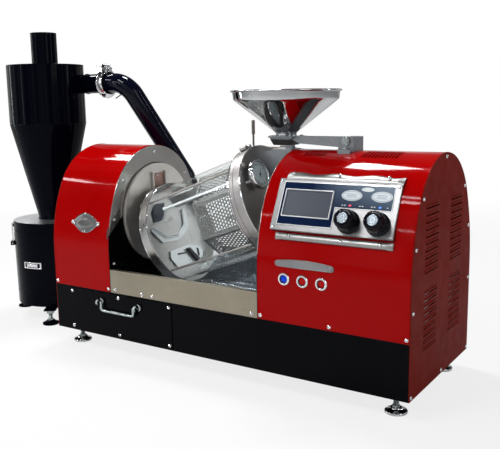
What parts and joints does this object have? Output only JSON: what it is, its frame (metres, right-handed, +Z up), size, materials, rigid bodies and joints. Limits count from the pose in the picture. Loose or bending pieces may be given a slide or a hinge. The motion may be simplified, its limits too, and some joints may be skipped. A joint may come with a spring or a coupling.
{
  "type": "coffee bean roaster",
  "caption": "Bench-standing coffee roaster: a tilted glass drum turns between two arched housings under a bean hopper, with a chaff cyclone and bin beside it.",
  "frame": {"origin": "bottom centre of the box round the whole machine, on the surface the levelling feet stand on", "axes": "+X to the right along the turning axis of the drum, -Y towards the front where the controls are, +Z up"},
  "size_m": [1.3966, 0.4686, 0.848],
  "materials": {
    "red_paint": "gloss",
    "black_paint": "gloss",
    "dark_red_panel": "satin",
    "stainless": "brushed",
    "polished_steel": "polished",
    "bright_steel": "polished",
    "zinc_steel": "satin",
    "glass": "clear",
    "inner_steel": "satin",
    "aluminium": "machined",
    "rubber": "matte",
    "black_plastic": "gloss",
    "knob_plastic": "gloss",
    "panel_blue": "satin",
    "screen_face": "gloss",
    "button_blue": "gloss",
    "button_red": "gloss",
    "plate_silver": "satin"
  },
  "bodies": {
    "machine_body": {"base_shell": "black_paint", "access_cover": "black_paint", "left_cover": "red_paint", "right_cover": "red_paint", "end_panels": "dark_red_panel", "face_plates": "stainless", "lower_face_panels": "black_paint", "cooling_tray": "stainless", "tray_walls": "stainless", "foot_pads": "bright_steel", "foot_stems": "zinc_steel", "body_screws": "bright_steel", "shaft_bearings": "bright_steel", "bearing_stands": "zinc_steel", "drive_belt": "rubber", "drive_motor": "black_paint", "fan_housings": "zinc_steel", "fan_motors": "black_paint", "exhaust_plenum": "zinc_steel", "heater_box": "zinc_steel", "control_box": "zinc_steel", "power_inlet": "black_plastic", "console_frame": "stainless", "console_overlay": "panel_blue", "touch_screen": "screen_face", "button_bezels": "bright_steel", "blank_plates": "plate_silver", "arm_post": "stainless", "cyclone": "black_paint", "bin_lid": "polished_steel", "chaff_bin": "black_paint", "exhaust_pipe": "black_paint", "pipe_clamp": "bright_steel"},
    "drum": {"left_drum_end": "polished_steel", "right_drum_end": "polished_steel", "drum_glass": "glass", "drum_cage": "inner_steel", "mixing_vanes": "inner_steel", "tie_rods": "bright_steel", "drum_gauge": "black_paint", "charging_spout": "stainless", "turning_discs": "stainless", "hollow_axles": "inner_steel", "drum_carriers": "stainless", "drum_pulley": "aluminium"},
    "charge_gate": {"charge_gate": "stainless"},
    "motor_rotor": {"motor_rotor": "aluminium"},
    "exhaust_fan": {"exhaust_fan_wheel": "zinc_steel"},
    "intake_fan": {"intake_fan_wheel": "zinc_steel"},
    "drop_handle": {"drop_handle": "bright_steel"},
    "left_knob": {"knob_left": "knob_plastic"},
    "right_knob": {"knob_right": "knob_plastic"},
    "blue_button": {"button_blue": "button_blue"},
    "inner_red_button": {"button_red_inner": "button_red"},
    "outer_red_button": {"button_red_outer": "button_red"},
    "hopper_swing": {"hopper_arm": "stainless", "hopper": "polished_steel"},
    "charge_lever": {"charge_lever": "black_plastic"},
    "bin_latch": {"bin_latch": "bright_steel"},
    "clamp_lever": {"clamp_lever": "bright_steel"}
  },
  "joints": [
    {"name": "drum_spin", "type": "hinge", "parent": "machine_body", "child": "drum", "pos_m": [0.11953, -0.02695, 0.35], "axis": [1, 0, 0], "continuous": true},
    {"name": "charge_gate_slide", "type": "slide", "parent": "drum", "child": "charge_gate", "axis": [0, 1, 0], "range_m": [0, 0.03]},
    {"name": "motor_spin", "type": "hinge", "parent": "machine_body", "child": "motor_rotor", "pos_m": [-0.12939, -0.12695, 0.227], "axis": [1, 0, 0], "continuous": true},
    {"name": "exhaust_fan_spin", "type": "hinge", "parent": "machine_body", "child": "exhaust_fan", "pos_m": [-0.19389, 0.08305, 0.357], "axis": [1, 0, 0], "continuous": true},
    {"name": "intake_fan_spin", "type": "hinge", "parent": "machine_body", "child": "intake_fan", "pos_m": [0.49495, -0.02695, 0.229], "axis": [1, 0, 0], "continuous": true},
    {"name": "drop_handle_swing", "type": "hinge", "parent": "machine_body", "child": "drop_handle", "pos_m": [-0.07489, -0.22445, 0.137], "axis": [-1, 0, 0], "range_deg": [0, 90]},
    {"name": "left_knob_turn", "type": "hinge", "parent": "machine_body", "child": "left_knob", "pos_m": [0.55311, -0.19684, 0.39413], "axis": [0, -0.9009, 0.434], "range_deg": [0, 270]},
    {"name": "right_knob_turn", "type": "hinge", "parent": "machine_body", "child": "right_knob", "pos_m": [0.61811, -0.19684, 0.39413], "axis": [0, -0.9009, 0.434], "range_deg": [0, 270]},
    {"name": "blue_button_press", "type": "slide", "parent": "machine_body", "child": "blue_button", "axis": [0, 1, 0], "range_m": [0, 0.003], "stiffness_N_per_m": 400},
    {"name": "inner_red_button_press", "type": "slide", "parent": "machine_body", "child": "inner_red_button", "axis": [0, 1, 0], "range_m": [0, 0.003], "stiffness_N_per_m": 400},
    {"name": "outer_red_button_press", "type": "slide", "parent": "machine_body", "child": "outer_red_button", "axis": [0, 1, 0], "range_m": [0, 0.003], "stiffness_N_per_m": 400},
    {"name": "hopper_swing_up", "type": "hinge", "parent": "machine_body", "child": "hopper_swing", "pos_m": [0.47695, -0.02695, 0.54961], "axis": [0, 1, 0], "range_deg": [0, 50]},
    {"name": "charge_lever_turn", "type": "hinge", "parent": "hopper_swing", "child": "charge_lever", "pos_m": [0.26144, 0.05705, 0.52311], "axis": [1, 0, 0], "range_deg": [-15, 45]},
    {"name": "bin_latch_open", "type": "hinge", "parent": "machine_body", "child": "bin_latch", "pos_m": [-0.62519, -0.09375, 0.225], "axis": [0.7071, -0.7071, 0], "range_deg": [0, 90]},
    {"name": "clamp_lever_open", "type": "hinge", "parent": "machine_body", "child": "clamp_lever", "pos_m": [-0.36239, 0.07305, 0.749], "axis": [0, 1, 0], "range_deg": [0, 100]}
  ],
  "couplings": [
    {"joint": "motor_spin", "follows": "drum_spin", "ratio": 3.1818}
  ]
}
